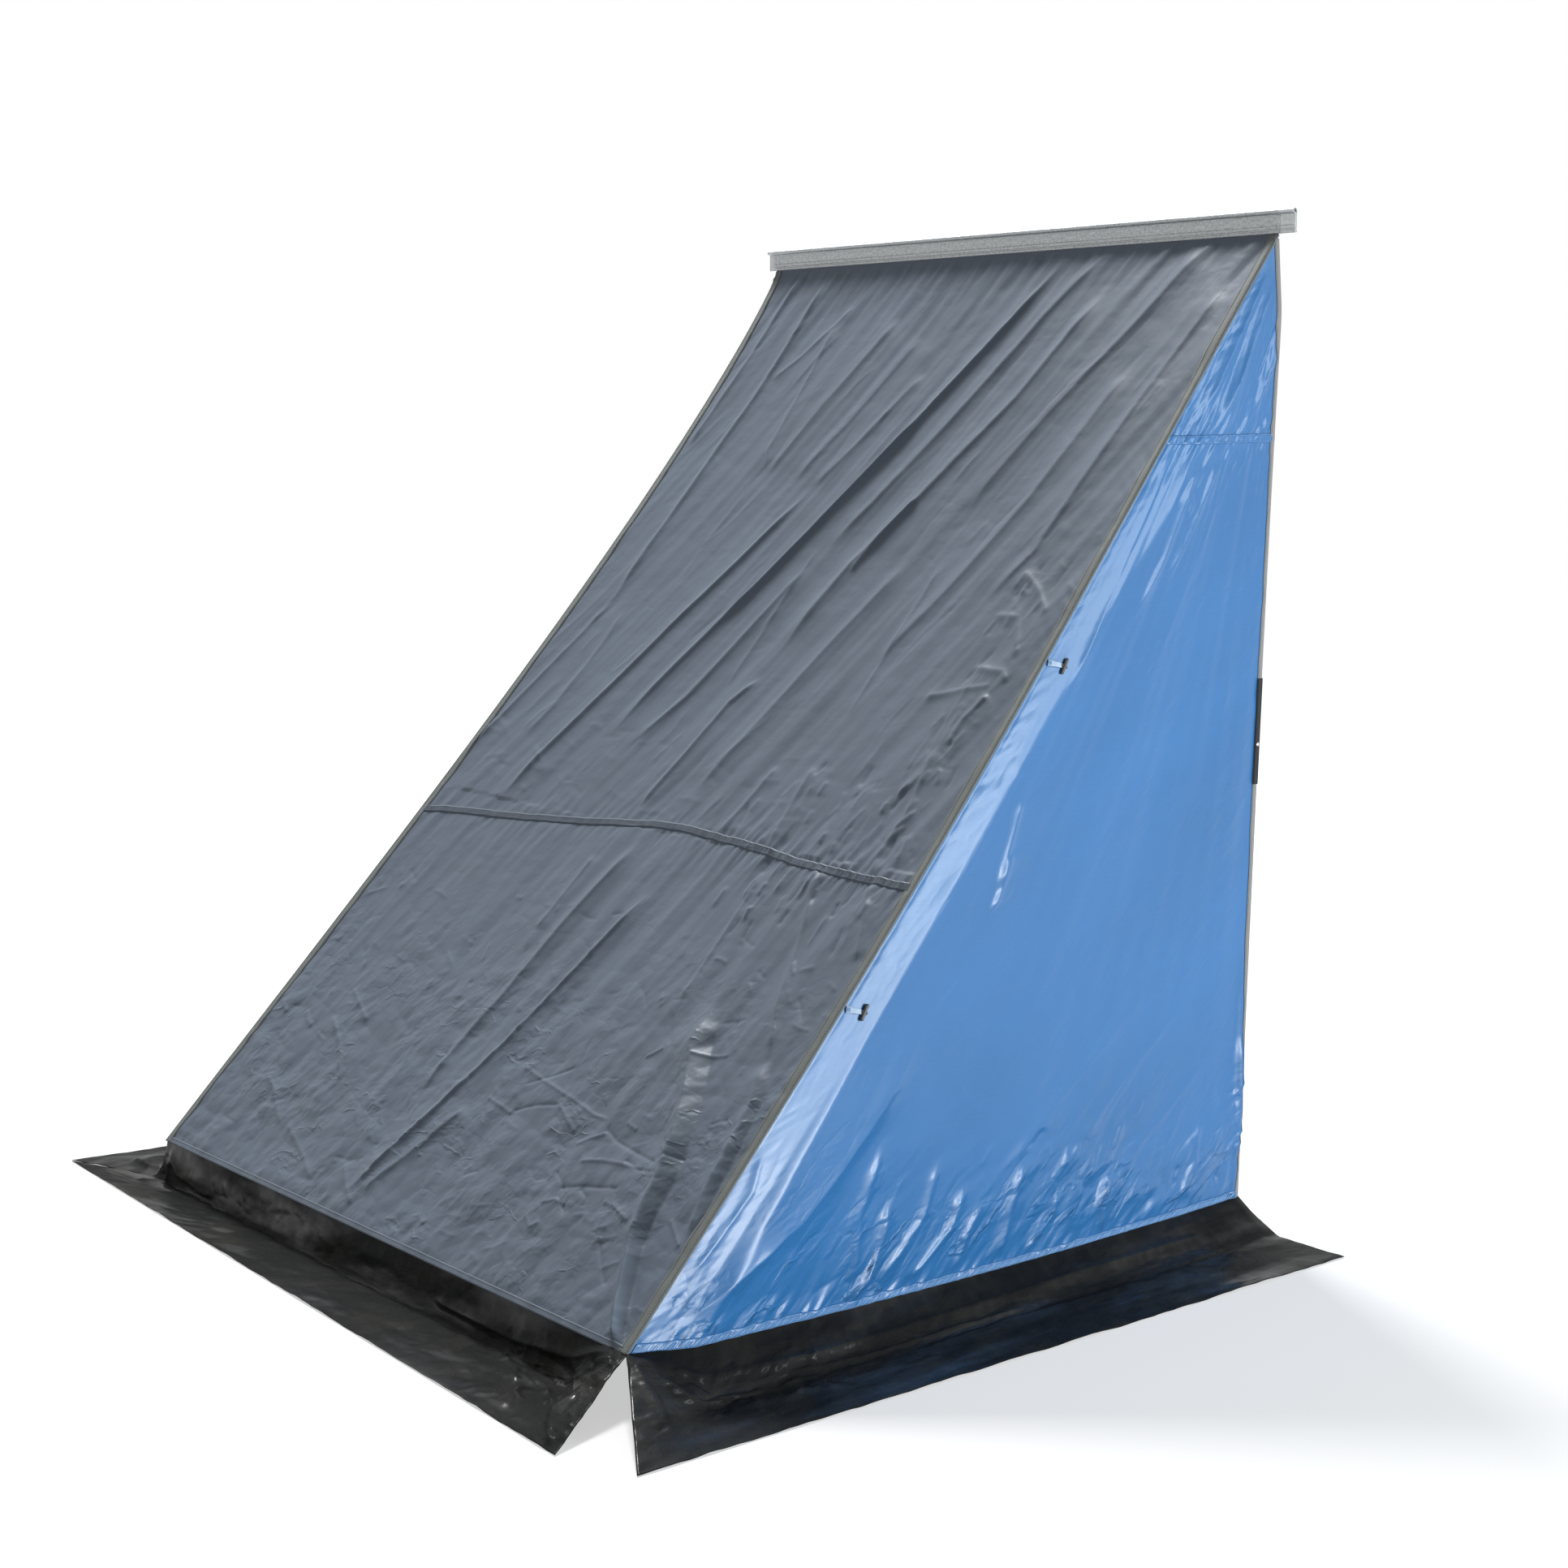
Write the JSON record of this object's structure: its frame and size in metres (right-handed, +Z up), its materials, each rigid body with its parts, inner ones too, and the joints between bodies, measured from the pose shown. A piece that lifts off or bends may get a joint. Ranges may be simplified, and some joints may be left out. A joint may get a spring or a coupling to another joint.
{
  "type": "caravan rear tent",
  "caption": "Lean-to tent for a caravan's rear: a sewn roof and side panels on a keder rail band, with telescopic corner poles, side toggles and mud skirts.",
  "frame": {"origin": "on the ground, in the middle of the box round the whole tent, skirts included", "axes": "+X along the caravan's wall to the tent's right as seen from outside, +Y towards the caravan, +Z up"},
  "size_m": [2.29, 1.79, 2.0094],
  "materials": {
    "silver_tape": "silver coated woven tape, slightly shiny",
    "cord_core": "round keder cord",
    "roof_cloth": "slate grey coated polyester, satin",
    "seam_tape": "grey seam tape with pale ladder stitching",
    "side_cloth": "blue coated polyester, satin",
    "edge_tape": "grey folded binding tape",
    "black_tab": "black webbing",
    "bright_metal": "bright rivet",
    "webbing": "pale blue webbing",
    "black_plastic": "black moulded plastic",
    "skirt_sheet": "black coated sheet, semi-gloss",
    "steel_tube": "zinc plated tube",
    "pole_rubber": "black rubber"
  },
  "bodies": {
    "main": {"keder_band": "silver_tape", "keder_cord": "cord_core", "roof_upper_panel": "roof_cloth", "roof_lower_panel": "roof_cloth", "skirt_front": "skirt_sheet", "seam_tape_right": "seam_tape", "pole_lower_tube_right": "steel_tube", "pole_clamp_right": "black_plastic", "pole_foot_right": "pole_rubber", "seam_tape_left": "seam_tape", "pole_lower_tube_left": "steel_tube", "pole_clamp_left": "black_plastic", "pole_foot_left": "pole_rubber"},
    "side_right": {"side_gore_right": "side_cloth", "side_panel_right": "side_cloth", "edge_binding_right": "edge_tape", "fixing_tab_right": "black_tab", "tab_rivet_right": "bright_metal", "skirt_right": "skirt_sheet"},
    "pole_upper_right": {"pole_upper_tube_right": "steel_tube", "pole_cap_right": "pole_rubber"},
    "screw_right": {"clamp_screw_right": "black_plastic"},
    "toggle_right_upper": {"toggle_loop_right_upper": "webbing", "toggle_bar_right_upper": "black_plastic"},
    "toggle_right_lower": {"toggle_loop_right_lower": "webbing", "toggle_bar_right_lower": "black_plastic"},
    "side_left": {"side_gore_left": "side_cloth", "side_panel_left": "side_cloth", "edge_binding_left": "edge_tape", "fixing_tab_left": "black_tab", "tab_rivet_left": "bright_metal", "skirt_left": "skirt_sheet"},
    "pole_upper_left": {"pole_upper_tube_left": "steel_tube", "pole_cap_left": "pole_rubber"},
    "screw_left": {"clamp_screw_left": "black_plastic"},
    "toggle_left_upper": {"toggle_loop_left_upper": "webbing", "toggle_bar_left_upper": "black_plastic"},
    "toggle_left_lower": {"toggle_loop_left_lower": "webbing", "toggle_bar_left_lower": "black_plastic"}
  },
  "joints": [
    {"name": "side_panel_right_swing", "type": "hinge", "parent": "main", "child": "side_right", "pos_m": [0.79648, 0.91141, 1.94753], "axis": [0.0322, -0.6424, -0.7657], "range_deg": [0, 90]},
    {"name": "toggle_right_upper_lift", "type": "hinge", "parent": "side_right", "child": "toggle_right_upper", "pos_m": [0.82949, 0.27792, 1.17357], "axis": [0.1201, -0.2535, -0.9599], "range_deg": [0, 120]},
    {"name": "toggle_right_lower_lift", "type": "hinge", "parent": "side_right", "child": "toggle_right_lower", "pos_m": [0.85406, -0.20509, 0.60061], "axis": [0.1435, -0.2774, -0.95], "range_deg": [0, 120]},
    {"name": "pole_right_telescope", "type": "slide", "parent": "main", "child": "pole_upper_right", "axis": [-0.0379, 0.6419, 0.7658], "range_m": [-0.85, 0]},
    {"name": "clamp_screw_right_turn", "type": "hinge", "parent": "main", "child": "screw_right", "pos_m": [0.83277, 0.19681, 0.98061], "axis": [-0.9993, -0.0244, -0.0291], "range_deg": [0, 360]},
    {"name": "side_panel_left_swing", "type": "hinge", "parent": "main", "child": "side_left", "pos_m": [-0.79581, 0.9175, 1.94239], "axis": [0.0322, 0.6424, 0.7657], "range_deg": [0, 90]},
    {"name": "toggle_left_upper_lift", "type": "hinge", "parent": "side_left", "child": "toggle_left_upper", "pos_m": [-0.82932, 0.29698, 1.15734], "axis": [0.0601, 0.231, 0.9711], "range_deg": [0, 120]},
    {"name": "toggle_left_lower_lift", "type": "hinge", "parent": "side_left", "child": "toggle_left_lower", "pos_m": [-0.85382, -0.20175, 0.59781], "axis": [0.1556, 0.2807, 0.9471], "range_deg": [0, 120]},
    {"name": "pole_left_telescope", "type": "slide", "parent": "main", "child": "pole_upper_left", "axis": [0.0379, 0.6419, 0.7658], "range_m": [-0.85, 0]},
    {"name": "clamp_screw_left_turn", "type": "hinge", "parent": "main", "child": "screw_left", "pos_m": [-0.83231, 0.19676, 0.98061], "axis": [0.9993, -0.0244, -0.0291], "range_deg": [0, 360]}
  ]
}
